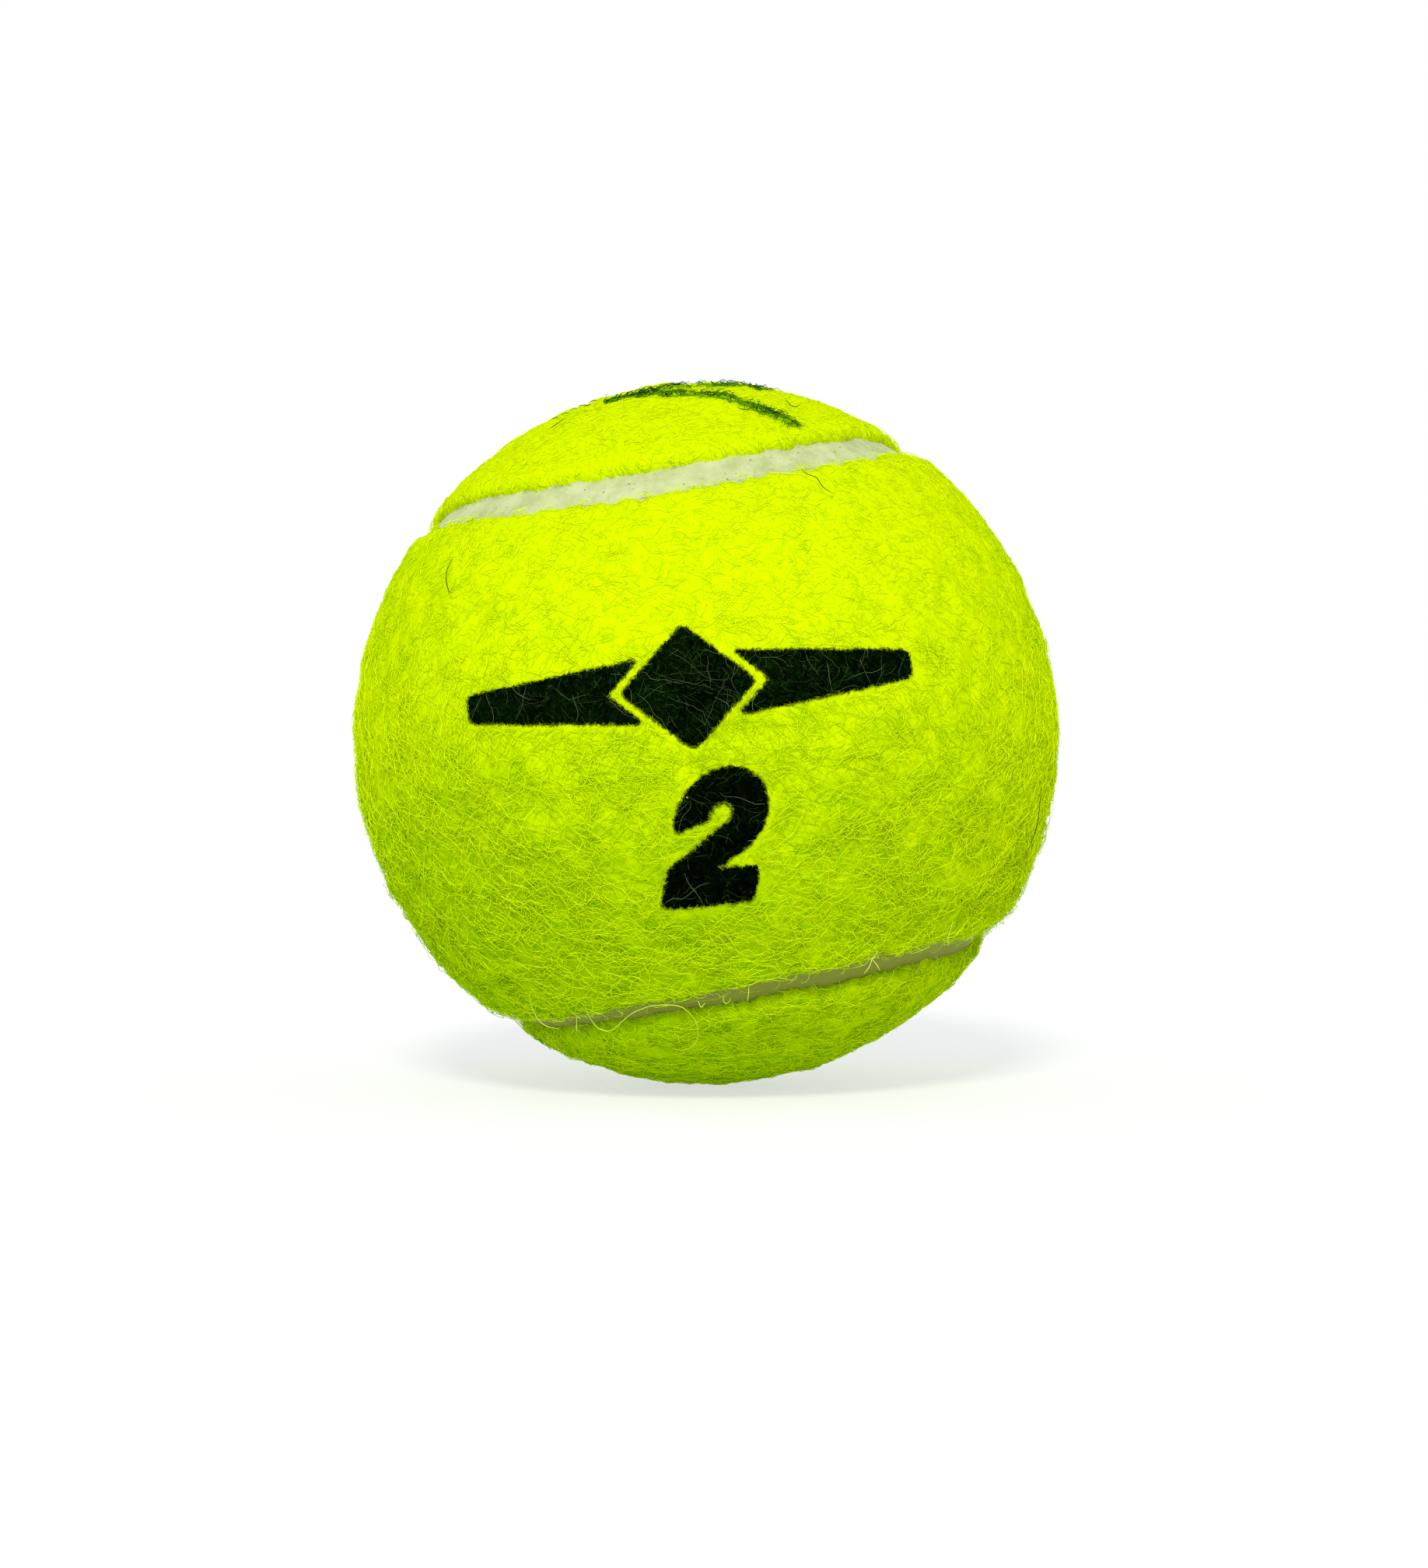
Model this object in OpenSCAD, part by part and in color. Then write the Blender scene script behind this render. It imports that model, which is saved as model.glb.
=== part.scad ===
/* [Ball] */
// Diameter of the finished ball, measured over the felt
ball_d = 67; // [65:0.1:69]

/* [Rubber core] */
// Wall of the two moulded cups
core_wall = 3.3; // [2.6:0.1:4.2]
// Thickness of the cement line where the cups meet
core_joint_t = 0.2; // [0.1:0.05:0.5]

/* [Felt panels] */
// Height of the raised pile
nap_t = 2.5; // [1.8:0.1:3]
// Thickness of the woven base cloth under the pile
backing_t = 0.65; // [0.4:0.05:1]
// Thickness of the cement between a panel and the core
cement_t = 0.15; // [0.1:0.05:0.4]
// Waist of a panel, as a share of the ball's diameter
waist_share = 0.72; // [0.64:0.01:0.78]
// Turn of both panels about the front-to-back axis, as the ball lies, in degrees
lie_turn = 10; // [0:1:90]

/* [Seam] */
// Width of the rubber strip between the panels
seam_w = 3.2; // [2.4:0.1:3.8]
// Depth of the strip's surface below the felt
seam_drop = 1.35; // [0.8:0.05:1.7]
// How far the rounded lip of the pile reaches back from the strip
lip_w = 0.9; // [0.4:0.1:1.6]

/* [Prints] */
// Depth to which the ink colours the pile
ink_t = 0.35; // [0.2:0.05:0.8]
// Turn of both prints on the front panel, in degrees
print_turn = -4; // [-8:1:6]
// Height of the numeral
digit_h = 12; // [10:0.5:14]
// Width of the numeral
digit_w = 8.2; // [7:0.2:9.6]
// Stroke of the numeral
digit_stroke = 3; // [1.8:0.1:3.2]
// Lean of the numeral to the right, in degrees
digit_lean = 14; // [0:1:18]
// How far the numeral's centre lies below the middle of the panel
digit_down = 8.9; // [8.3:0.1:10]
// How far the numeral's centre lies to the right along the panel
digit_right = -0.5; // [-3:0.1:3]
// Length of the ornamental rule over the numeral
rule_l = 40; // [34:1:44]
// How far the rule's centre lies above the middle of the panel
rule_up = 4.6; // [4:0.2:7]
// How far the rule's centre lies to the left along the panel
rule_left = 0.8; // [-3:0.2:3]
// Width of the lozenge in the middle of the rule
lozenge_w = 12; // [8:0.5:16]
// Height of the lozenge
lozenge_h = 11; // [8:0.5:12]
// Thickness of each bar at the lozenge
bar_root_h = 5.6; // [4:0.2:7]
// Thickness of each bar at its outer end
bar_tip_h = 2.4; // [1.6:0.2:4]
// Bare felt between the lozenge and a bar
bar_gap = 1.4; // [0.8:0.1:2.4]

/* [Pen mark] */
// Width of the pen's line
line_w = 1.2; // [0.9:0.1:1.8]
// Place to the left of the crown where the two lines meet
mark_left = 8.6; // [5:0.1:10]
// Place in front of the crown where the two lines meet
mark_front = 7.6; // [6:0.1:8.5]
// Length of the far line
far_line_l = 13.6; // [9:0.1:15]
// Turn of the far line, in degrees
far_line_turn = 7; // [0:1:14]
// Length of the near line
near_line_l = 11.5; // [9:0.1:13]
// Turn of the near line, in degrees
near_line_turn = -20; // [-28:1:-14]
// Length of the tail that runs on from the near line
tail_l = 6.6; // [4:0.1:8]
// Turn of the tail, in degrees
tail_turn = -32; // [-40:1:-24]

/* [Hidden] */

// Each layer lies face to face on the one under it, from the pile down to the hollow
ball_r = ball_d / 2;
backing_r = ball_r - nap_t;
cement_r = backing_r - backing_t;
core_r = cement_r - cement_t;
hollow_r = core_r - core_wall;
seam_r = ball_r - seam_drop;
ink_r = ball_r - ink_t;

// The lip's curve ends this far outside the ball, so that it crosses the surface at a clear angle
lip_over = 0.25;
// Every cutting body runs past what it cuts by this much
overrun = 1;
// Points round the seam, a multiple of 8, and steps up the lip
SEAM_POINTS = 96;
LIP_STEPS = 4;
// Steps along each arc of the numeral
ARC_STEPS = 24;
// The straight ribs that close a cutting body pass the ball where they are nearest to its centre,
// because that is no less than this share of the way out
rib_share = 0.55;
far_r = (ball_r + overrun) / rib_share;

// The seam is the curve that a circle's first and third turns add up to on the ball. Before
// the panels' turn, X is along the front panel, Z across it, and its middle is at -Y
wave_1_share = (1 + waist_share) / 2;
wave_3_share = (1 - waist_share) / 2;
depth_share = 2 * sqrt(wave_1_share * wave_3_share);
function seam_at(s) = [
    wave_1_share * cos(s) - wave_3_share * cos(3 * s),
    depth_share * cos(2 * s),
    wave_1_share * sin(s) + wave_3_share * sin(3 * s)];
function seam_way(s) = [
    -wave_1_share * sin(s) + 3 * wave_3_share * sin(3 * s),
    -2 * depth_share * sin(2 * s),
    wave_1_share * cos(s) + 3 * wave_3_share * cos(3 * s)];
function unit(v) = v / norm(v);
// Square to the seam along the ball's surface, towards the front panel
function inward_at(s) = cross(seam_at(s), unit(seam_way(s)));
// The points lie half a step off the seam's corners, where the halves of a sphere's surface meet
function turn_of(i) = 360 * (i + 0.5) / SEAM_POINTS;
// A ring beside the seam: off is the distance from it along the ball, r the distance from the ball's centre
function ring(off, r) = let (bend = off / ball_r * 180 / PI) [
    for (i = [0 : SEAM_POINTS - 1])
        r * (seam_at(turn_of(i)) * cos(bend) + inward_at(turn_of(i)) * sin(bend))];

// Everything on the front panel's side of a line of rings, given as [off, r] from the lowest up.
// Each ring joins the next with triangles, and straight ribs across the panel close the last one
module beside_seam(line) {
    n = SEAM_POINTS;
    top = (len(line) - 1) * n;
    points = [each [for (step = line) each ring(step[0], step[1])], [0, 0, 0]];
    foot = len(points) - 1;
    fan = [for (i = [0 : n - 1]) [foot, i, (i + 1) % n]];
    walls = [
        for (j = [0 : len(line) - 2], i = [0 : n - 1])
            let (a = j * n + i, b = j * n + (i + 1) % n)
                each [[a, a + n, b], [b, a + n, b + n]]];
    ribs = [
        for (i = [0 : n / 2 - 2])
            let (a = top + i, b = top + n - 1 - i)
                each [[a, b, a + 1], [a + 1, b, b - 1]]];
    polyhedron(points, [each fan, each walls, each ribs]);
}

// The whole of one panel's side of the seam, down to the ball's centre
module panel_side() {
    beside_seam([[seam_w / 2, ball_r], [seam_w / 2, far_r]]);
}

// The same, with the pile's lip rounded back from the strip
module panel_side_with_lip() {
    beside_seam([
        [seam_w / 2, backing_r - overrun],
        for (j = [0 : LIP_STEPS])
            let (rise = 90 * j / LIP_STEPS)
                [seam_w / 2 + lip_w * (1 - cos(rise)), seam_r + (seam_drop + lip_over) * sin(rise)],
        [seam_w / 2 + lip_w, far_r]]);
}

// The panels, the strip between them and the prints are turned together as the ball lies
module as_lies() {
    rotate([0, -lie_turn, 0]) children();
}

// The rear panel is the front one turned half round on a slanted axis
module as_rear() {
    rotate(180, [1, 0, 1]) children();
}

// The space between two spheres
module shell(inner_r, outer_r) {
    difference() {
        sphere(r = outer_r, $fn = 128);
        sphere(r = inner_r, $fn = 128);
    }
}

module core_half(upper) {
    side = ball_d + 2 * overrun;
    intersection() {
        shell(hollow_r, core_r);
        translate([-side / 2, -side / 2, upper ? core_joint_t / 2 : -side - core_joint_t / 2])
            cube(side);
    }
}

module core_half_lower() {
    color("#5b5854") core_half(false);
}

module core_half_upper() {
    color("#64605b") core_half(true);
}

module core_joint_cement() {
    side = ball_d + 2 * overrun;
    color("#2e2b28") intersection() {
        shell(hollow_r, core_r);
        translate([-side / 2, -side / 2, -core_joint_t / 2]) cube([side, side, core_joint_t]);
    }
}

module panel_cement() {
    intersection() {
        shell(core_r, cement_r);
        panel_side();
    }
}

module panel_cement_front() {
    color("#d9d4b8") as_lies() panel_cement();
}

module panel_cement_rear() {
    color("#d9d4b8") as_lies() as_rear() panel_cement();
}

module felt_backing() {
    intersection() {
        shell(cement_r, backing_r);
        panel_side();
    }
}

module felt_backing_front() {
    color("#c9d46a") as_lies() felt_backing();
}

module felt_backing_rear() {
    color("#c9d46a") as_lies() as_rear() felt_backing();
}

module felt_nap() {
    intersection() {
        shell(backing_r, ball_r);
        panel_side_with_lip();
    }
}

// The two prints are left out of the pile that they colour
module felt_nap_front() {
    color("#c8ee12") as_lies() difference() {
        felt_nap();
        inked(ball_r + overrun) {
            digit_outline();
            rule_outline();
        }
    }
}

module felt_nap_rear() {
    color("#c8ee12") difference() {
        as_lies() as_rear() felt_nap();
        penned(ball_r + overrun);
    }
}

module seam_rubber() {
    n = SEAM_POINTS;
    corners = [
        [-seam_w / 2, core_r - overrun], [seam_w / 2, core_r - overrun],
        [seam_w / 2, ball_r], [-seam_w / 2, ball_r]];
    points = [for (c = corners) each ring(c[0], c[1])];
    faces = [
        for (j = [0 : 3], i = [0 : n - 1])
            let (a = j * n + i, b = j * n + (i + 1) % n, up = (j + 1) % 4 * n - j * n)
                each [[a, b, a + up], [b, b + up, a + up]]];
    color("#dfe6bb") as_lies() intersection() {
        shell(core_r, seam_r);
        polyhedron(points, faces);
    }
}

// Points along an arc about [0, y]
function arc(r, y, from, to) = [
    for (i = [0 : ARC_STEPS])
        let (turn = from + (to - from) * i / ARC_STEPS) [r * cos(turn), y + r * sin(turn)]];

// A plain numeral two: a bowl, a slanted stem that leaves it as a tangent, and a foot
module digit_outline() {
    bowl_r = digit_w / 2;
    inner_r = bowl_r - digit_stroke;
    bowl_y = digit_h / 2 - bowl_r;
    foot_y = -digit_h / 2;
    foot_top = foot_y + digit_stroke;
    tip = 198;
    stem = -53;
    way = [sin(stem), -cos(stem)];
    outer = arc(bowl_r, bowl_y, tip, stem);
    inner = arc(inner_r, bowl_y, stem, tip);
    upright = [
        each outer,
        outer[ARC_STEPS] + way * (outer[ARC_STEPS].y - foot_top) / -way.y,
        [bowl_r, foot_top],
        [bowl_r, foot_y],
        [-bowl_r, foot_y],
        inner[0] + way * (inner[0].x + bowl_r) / -way.x,
        each inner];
    translate([digit_right, -digit_down]) rotate(print_turn)
        polygon([for (p = upright) [p.x + p.y * tan(digit_lean), p.y]]);
}

// A printer's swelled rule: a lozenge between two bars that taper away from it
module rule_outline() {
    bar_in = lozenge_w / 2 * (1 - bar_root_h / lozenge_h) + bar_gap;
    translate([-rule_left, rule_up]) rotate(print_turn) {
        polygon([
            [-lozenge_w / 2, 0], [0, -lozenge_h / 2], [lozenge_w / 2, 0], [0, lozenge_h / 2]]);
        for (side = [-1, 1]) polygon([
            [side * (lozenge_w / 2 + bar_gap), 0],
            [side * bar_in, bar_root_h / 2],
            [side * rule_l / 2, bar_tip_h / 2],
            [side * rule_l / 2, -bar_tip_h / 2],
            [side * bar_in, -bar_root_h / 2]]);
    }
}

// The skin of the front of the ball within an outline, from the ink's depth out to outer_r
module inked(outer_r) {
    intersection() {
        shell(ink_r, outer_r);
        rotate([90, 0, 0]) linear_extrude(outer_r + overrun) children();
    }
}

module number_print() {
    color("#14160f") as_lies() inked(ball_r) digit_outline();
}

module ornament_print() {
    color("#14160f") as_lies() inked(ball_r) rule_outline();
}

// A straight line with round ends, drawn to the right from its start
module pen_stroke(length) {
    circle(d = line_w, $fn = 48);
    translate([length, 0]) circle(d = line_w, $fn = 48);
    translate([0, -line_w / 2]) square([length, line_w]);
}

// Two lines that meet in a point, and the tail that runs on from the near one
module pen_outline() {
    rotate(far_line_turn) pen_stroke(far_line_l);
    rotate(near_line_turn) {
        pen_stroke(near_line_l);
        translate([near_line_l, 0]) rotate(tail_turn - near_line_turn) pen_stroke(tail_l);
    }
}

// The skin of the crown under the pen's line, out to outer_r
module penned(outer_r) {
    intersection() {
        shell(ink_r, outer_r);
        translate([-mark_left, -mark_front])
            linear_extrude(outer_r + overrun) pen_outline();
    }
}

module pen_mark() {
    color("#2f7a1e") penned(ball_r);
}

core_half_lower();
core_half_upper();
core_joint_cement();
panel_cement_front();
panel_cement_rear();
felt_backing_front();
felt_backing_rear();
felt_nap_front();
felt_nap_rear();
seam_rubber();
number_print();
ornament_print();
pen_mark();
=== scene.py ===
import math

import bmesh
import bpy
import numpy as np
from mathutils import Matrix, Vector, geometry, kdtree
from mathutils.bvhtree import BVHTree


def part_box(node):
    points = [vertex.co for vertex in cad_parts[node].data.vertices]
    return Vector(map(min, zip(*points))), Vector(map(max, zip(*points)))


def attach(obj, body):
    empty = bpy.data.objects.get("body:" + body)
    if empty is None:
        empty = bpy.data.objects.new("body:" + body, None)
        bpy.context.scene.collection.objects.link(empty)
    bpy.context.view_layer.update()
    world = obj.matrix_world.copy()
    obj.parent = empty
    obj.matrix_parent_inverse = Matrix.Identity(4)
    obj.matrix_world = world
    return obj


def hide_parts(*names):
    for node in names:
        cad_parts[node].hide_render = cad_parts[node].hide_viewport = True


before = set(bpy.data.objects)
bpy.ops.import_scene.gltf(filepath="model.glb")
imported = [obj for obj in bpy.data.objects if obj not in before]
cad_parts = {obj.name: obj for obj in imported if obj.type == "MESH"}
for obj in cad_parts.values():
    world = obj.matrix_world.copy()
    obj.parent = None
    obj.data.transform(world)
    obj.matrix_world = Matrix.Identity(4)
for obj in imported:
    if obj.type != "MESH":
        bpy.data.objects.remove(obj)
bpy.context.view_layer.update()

# The view. A level camera stands about twelve ball radii in front of the ball, and the ball sits
# a little left of the middle of the picture and above it.
MM = 0.001
BALL_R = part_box("felt_nap_front")[1].x
PICTURE_LONG_PX = 2016
OUTLINE_R_PX = 453.5
BALL_LEFT_PX, BALL_UP_PX = 10, 66
CAMERA_RADII = 12
CAMERA_ELEVATION = math.radians(0.6)


def placed(name, data):
    """A new object in the scene."""
    made = bpy.data.objects.new(name, data)
    bpy.context.collection.objects.link(made)
    return made


camera_data = bpy.data.cameras.new("camera")
focal_px = OUTLINE_R_PX * math.sqrt(CAMERA_RADII**2 - 1)
camera_data.lens = focal_px / PICTURE_LONG_PX * camera_data.sensor_width
camera_data.clip_start, camera_data.clip_end = BALL_R, 500 * BALL_R
camera = placed("camera", camera_data)
away = CAMERA_RADII * BALL_R
back = Vector((0, -math.cos(CAMERA_ELEVATION), math.sin(CAMERA_ELEVATION)))
aim = away / focal_px * Vector((BALL_LEFT_PX, 0, -BALL_UP_PX))
camera.location = away * back
camera.rotation_mode = "QUATERNION"
camera.rotation_quaternion = (aim - camera.location).to_track_quat("-Z", "Y")
bpy.context.scene.camera = camera
bpy.context.scene.view_settings.view_transform = "Standard"


# The studio. A pale table top runs out of sight under the ball and looks as white as the air
# behind it, a soft sky lights the ball from all round, and one broad lamp stands high in front.
SKY_LEVEL, SKY_COLOUR = 0.7, "#f2faff"
LAMP_LEVEL, LAMP_COLOUR = 0.745, "#fff8ee"
LAMP_HEIGHT = math.radians(35)
LAMP_TO_LEFT = math.radians(4)
LAMP_SPREAD = math.radians(12)
TABLE_COLOUR, TABLE_SEEN_COLOUR = "#d8d8d8", "#a8a8a8"
TABLE_GLOW, TABLE_FILL = 0.62, 0.33
TABLE_SIDE = 400 * BALL_R
TABLE_GAP = 0.35 * MM


def linear(colour):
    """A colour written as sRGB hex, as Blender's linear numbers."""
    parts = [int(colour[i : i + 2], 16) / 255 for i in (1, 3, 5)]
    return (*(c / 12.92 if c <= 0.04045 else ((c + 0.055) / 1.055) ** 2.4 for c in parts), 1)


def feed(node, inputs):
    """Sets a node's inputs to values, or links them from sockets or from other nodes' first outputs."""
    for name, value in inputs.items() if isinstance(inputs, dict) else enumerate(inputs):
        if isinstance(value, bpy.types.Node):
            value = next(socket for socket in value.outputs if socket.enabled)
        if isinstance(value, bpy.types.NodeSocket):
            node.id_data.links.new(value, node.inputs[name])
        else:
            node.inputs[name].default_value = value


def add(tree, kind, inputs=(), operation=None, **settings):
    """A node with its settings, fed with its inputs. Its kind is its type without the type's prefix."""
    prefixes = "GeometryNode", "FunctionNode", "ShaderNode", "Node"
    made = tree.nodes.new(next(p + kind for p in prefixes if hasattr(bpy.types, p + kind)))
    if operation:
        made.operation = operation
    for name, value in settings.items():
        setattr(made, name, value)
    feed(made, inputs)
    return made


world = bpy.data.worlds.new("studio_air")
bpy.context.scene.world = world
world.use_nodes = True
tree = world.node_tree
tree.nodes.clear()
ray = add(tree, "LightPath").outputs
seen = add(tree, "Math", [ray["Is Camera Ray"], ray["Is Glossy Ray"]], "MAXIMUM")
seen = add(tree, "Math", [seen, ray["Is Transmission Ray"]], "MAXIMUM")
level = add(tree, "MapRange", {"Value": seen, "To Min": SKY_LEVEL, "To Max": 1.0})
tint = add(tree, "Mix", {"Factor": seen, 6: linear(SKY_COLOUR), 7: linear("#ffffff")}, data_type="RGBA")
sky = add(tree, "Background", {"Color": tint, "Strength": level})
add(tree, "OutputWorld", {"Surface": sky})

lamp_data = bpy.data.lights.new("high_front_lamp", "SUN")
lamp_data.energy = LAMP_LEVEL * math.pi
lamp_data.angle = LAMP_SPREAD
lamp_data.color = linear(LAMP_COLOUR)[:3]
lamp = placed("high_front_lamp", lamp_data)
lamp.rotation_euler = (math.pi / 2 - LAMP_HEIGHT, 0, -LAMP_TO_LEFT)

table_paint = bpy.data.materials.new("matt_white_table_paint")
table_paint.use_nodes = True
tree = table_paint.node_tree
tree.nodes.clear()
ray = add(tree, "LightPath").outputs
paint = add(tree, "Mix",
            {"Factor": ray["Is Camera Ray"], 6: linear(TABLE_COLOUR), 7: linear(TABLE_SEEN_COLOUR)},
            data_type="RGBA")
matt = add(tree, "BsdfDiffuse", {"Color": paint})
glow = add(tree, "MapRange",
           {"Value": ray["Is Camera Ray"], "To Min": TABLE_FILL, "To Max": TABLE_GLOW})
shine = add(tree, "Emission", {"Color": linear("#ffffff"), "Strength": glow})
both = add(tree, "AddShader", [matt, shine])
add(tree, "OutputMaterial", {"Surface": both})
table_mesh = bpy.data.meshes.new("table_top")
half, down = TABLE_SIDE / 2, -BALL_R - TABLE_GAP
corners = [(-half, -half, down), (half, -half, down), (half, half, down), (-half, half, down)]
table_mesh.from_pydata(corners, [], [(0, 1, 2, 3)])
table_mesh.materials.append(table_paint)
table = placed("table_top", table_mesh)


# The core. Two cups of filled natural rubber, moulded, buffed outside and cemented at their rims.
# The felt hides them, and they keep the shapes that the frame gives them.
CORE_COLOUR, CORE_DUST = "#5b5854", "#7a766f"
CORE_CEMENT_COLOUR, CORE_CEMENT_EDGE = "#2e2b28", "#454039"


def new_material(name):
    """A material, its tree of nodes and its surface."""
    made = bpy.data.materials.new(name)
    made.use_nodes = True
    return made, made.node_tree, made.node_tree.nodes["Principled BSDF"]


def set_stops(shade, low, high, *between):
    """Sets a colour ramp's stops, each given as its place and colour: its two ends and any between."""
    stops = shade.color_ramp.elements
    for stop, (position, colour) in zip(stops, (low, high)):
        stop.position, stop.color = position, linear(colour)
    for position, colour in between:
        stops.new(position).color = linear(colour)


def speckled(name, low, high, grain, rough, bump):
    """A matt material whose colour and height vary in grains of a real size."""
    made, tree, surface = new_material(name)
    place = add(tree, "TexCoord").outputs["Object"]
    noise = add(tree, "TexNoise",
                {"Vector": place, "Scale": 1 / grain, "Detail": 4.0, "Roughness": 0.6})
    shade = add(tree, "ValToRGB", [noise])
    set_stops(shade, (0.35, low), (0.68, high))
    relief = add(tree, "Bump", {"Height": noise, "Distance": bump, "Strength": 0.7})
    feed(surface, {"Base Color": shade, "Normal": relief, "Roughness": rough})
    return made


def dress(node, material):
    """Gives one of the frame's own shapes its material."""
    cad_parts[node].data.materials.clear()
    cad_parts[node].data.materials.append(material)


# Buffed rubber: grey, with chalky dust in the scratches of the buffing wheel
buffed_rubber = speckled("buffed_natural_rubber", CORE_COLOUR, CORE_DUST, 0.6 * MM, 0.8, 0.05 * MM)
# Cured rubber cement: darker than the cups and slightly glossy
rubber_cement = speckled("cured_rubber_cement", CORE_CEMENT_COLOUR, CORE_CEMENT_EDGE, 0.4 * MM, 0.5,
                         0.02 * MM)
dress("core_half_lower", buffed_rubber)
dress("core_half_upper", buffed_rubber)
dress("core_joint_cement", rubber_cement)

# The panels' cement and base cloth. Latex cement holds each panel's woven cotton cloth to the core,
# and the pile is raised from the cloth. Both are hidden and keep the frame's shapes.
LATEX_COLOUR, LATEX_DARK = "#ded9bd", "#c3bd98"
CLOTH_COLOUR, CLOTH_DARK = "#c9d46a", "#96a13c"
THREAD_SPACING = 0.5 * MM
latex_cement = speckled("cured_latex_cement", LATEX_DARK, LATEX_COLOUR, 0.5 * MM, 0.45, 0.02 * MM)
# Plain weave cotton: threads over and under each other, drawn as two crossed waves
cotton_cloth, tree, surface = new_material("woven_cotton_cloth")
place = add(tree, "TexCoord").outputs["Object"]
axes = add(tree, "SeparateXYZ", [place]).outputs
threads = []
for axis in ("X", "Z"):
    wave = add(tree, "Math", [axes[axis], math.pi / THREAD_SPACING], "MULTIPLY")
    threads.append(add(tree, "Math", [wave], "SINE"))
weave = add(tree, "Math", threads, "MULTIPLY")
height = add(tree, "MapRange", {"Value": weave, "From Min": -1.0})
shade = add(tree, "ValToRGB", [height])
set_stops(shade, (0.0, CLOTH_DARK), (1.0, CLOTH_COLOUR))
relief = add(tree, "Bump", {"Height": height, "Distance": 0.1 * MM})
feed(surface, {"Base Color": shade, "Normal": relief, "Roughness": 0.95})
for side in ("front", "rear"):
    dress("panel_cement_" + side, latex_cement)
    dress("felt_backing_" + side, cotton_cloth)

# The seam. A strip of white seam rubber fills the gap between the panels. It was vulcanised on in
# the mould, so its top is slightly uneven and pitted, and the felt's edges are bedded in it.
SEAM_W, SEAM_DROP = 3.2 * MM, 1.35 * MM
WAIST_SHARE = 0.72
LIE_TURN = math.radians(10)
SEAM_BEDDED = 0.7 * MM
SEAM_SAG = 0.12 * MM
SEAM_LUMP = 0.02 * MM
SEAM_STEPS = 1200
SEAM_COLOUR, SEAM_DULL, SEAM_PIT = "#c4cc9a", "#acb67c", "#6c7244"
# The colour of the seam's painted shade under the belly
SEAM_BELLY_SHADE = "#80882c"
# How far each panel's edge strays from the even curve, as hand-laid felt does, at turns round the seam
STRAY_TURNS = 0, 35, 50, 65, 80, 95, 110, 130, 180, 220, 235, 250, 265, 280, 295, 310, 325, 360
STRAY_FRONT_MM = 0, 0.3, 0.6, 1.4, 0.65, 0.45, 0.25, 0, 0, 0.1, 0.2, -0.2, -0.65, 0, 1.15, 0.7, 0.4, 0
STRAY_REAR_MM = (0, -0.3, -0.5, -0.6, 0.1, 0.3, 0.1, 0, 0, -0.3, -0.55, -0.65, 0.1, -0.1, -1.35, -0.6,
                 -0.35, 0)
SEAM_R = BALL_R - SEAM_DROP
CORE_R = (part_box("core_half_upper")[1].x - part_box("core_half_upper")[0].x) / 2
# The strip's foot, a little clear of the core
SEAM_FOOT_R = CORE_R + 0.3 * MM


def unit(rows):
    """Directions of length one."""
    return rows / np.linalg.norm(rows, axis=1, keepdims=True)


wave_1, wave_3 = (1 + WAIST_SHARE) / 2, (1 - WAIST_SHARE) / 2
turns = (np.arange(SEAM_STEPS) + 0.5) * 2 * math.pi / SEAM_STEPS
seam_line = np.stack([wave_1 * np.cos(turns) - wave_3 * np.cos(3 * turns),
                      2 * math.sqrt(wave_1 * wave_3) * np.cos(2 * turns),
                      wave_1 * np.sin(turns) + wave_3 * np.sin(3 * turns)], axis=1)
lie = np.array([[math.cos(LIE_TURN), 0, -math.sin(LIE_TURN)], [0, 1, 0],
                [math.sin(LIE_TURN), 0, math.cos(LIE_TURN)]])
seam_line = seam_line @ lie.T
seam_way = np.roll(seam_line, -1, axis=0) - np.roll(seam_line, 1, axis=0)
SEAM_STEP = np.linalg.norm(seam_way, axis=1).mean() / 2 * BALL_R
seam_way = unit(seam_way)
# Square to the seam along the ball's surface, towards the front panel
seam_inward = np.cross(seam_line, seam_way)


def wander(longest, shortest, seed):
    """Closed noise along the seam, of about unit size: waves between two lengths at random phases."""
    chance = np.random.default_rng(seed)
    around = SEAM_STEPS * np.linalg.norm(seam_line[1] - seam_line[0]) * BALL_R
    made = np.zeros(SEAM_STEPS)
    for wave in np.unique(np.geomspace(around / longest, around / shortest, 40).astype(int)):
        made += chance.normal() * np.cos(wave * turns + chance.uniform(0, 2 * math.pi))
    return made / made.std()


def edge_off(strays):
    """How far a panel's edge is from the seam's middle, all the way round."""
    return SEAM_W / 2 + np.interp(np.degrees(turns), STRAY_TURNS, strays) * MM


EDGE_OFF = {"front": edge_off(STRAY_FRONT_MM), "rear": edge_off(STRAY_REAR_MM)}


def new_object(name, points, faces, material):
    """A smooth piece with its place in its mesh."""
    mesh = bpy.data.meshes.new(name)
    mesh.from_pydata([tuple(p) for p in points], [], [tuple(int(i) for i in f) for f in faces])
    mesh.materials.append(material)
    mesh.polygons.foreach_set("use_smooth", [True] * len(mesh.polygons))
    return placed(name, mesh)


def beside(line, inward, way_off, r):
    """Points beside the seam at a distance along the ball's surface, at a radius."""
    bend = np.broadcast_to(way_off, len(line))[:, None] / BALL_R
    return (line * np.cos(bend) + inward * np.sin(bend)) * np.broadcast_to(r, len(line))[:, None]


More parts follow.
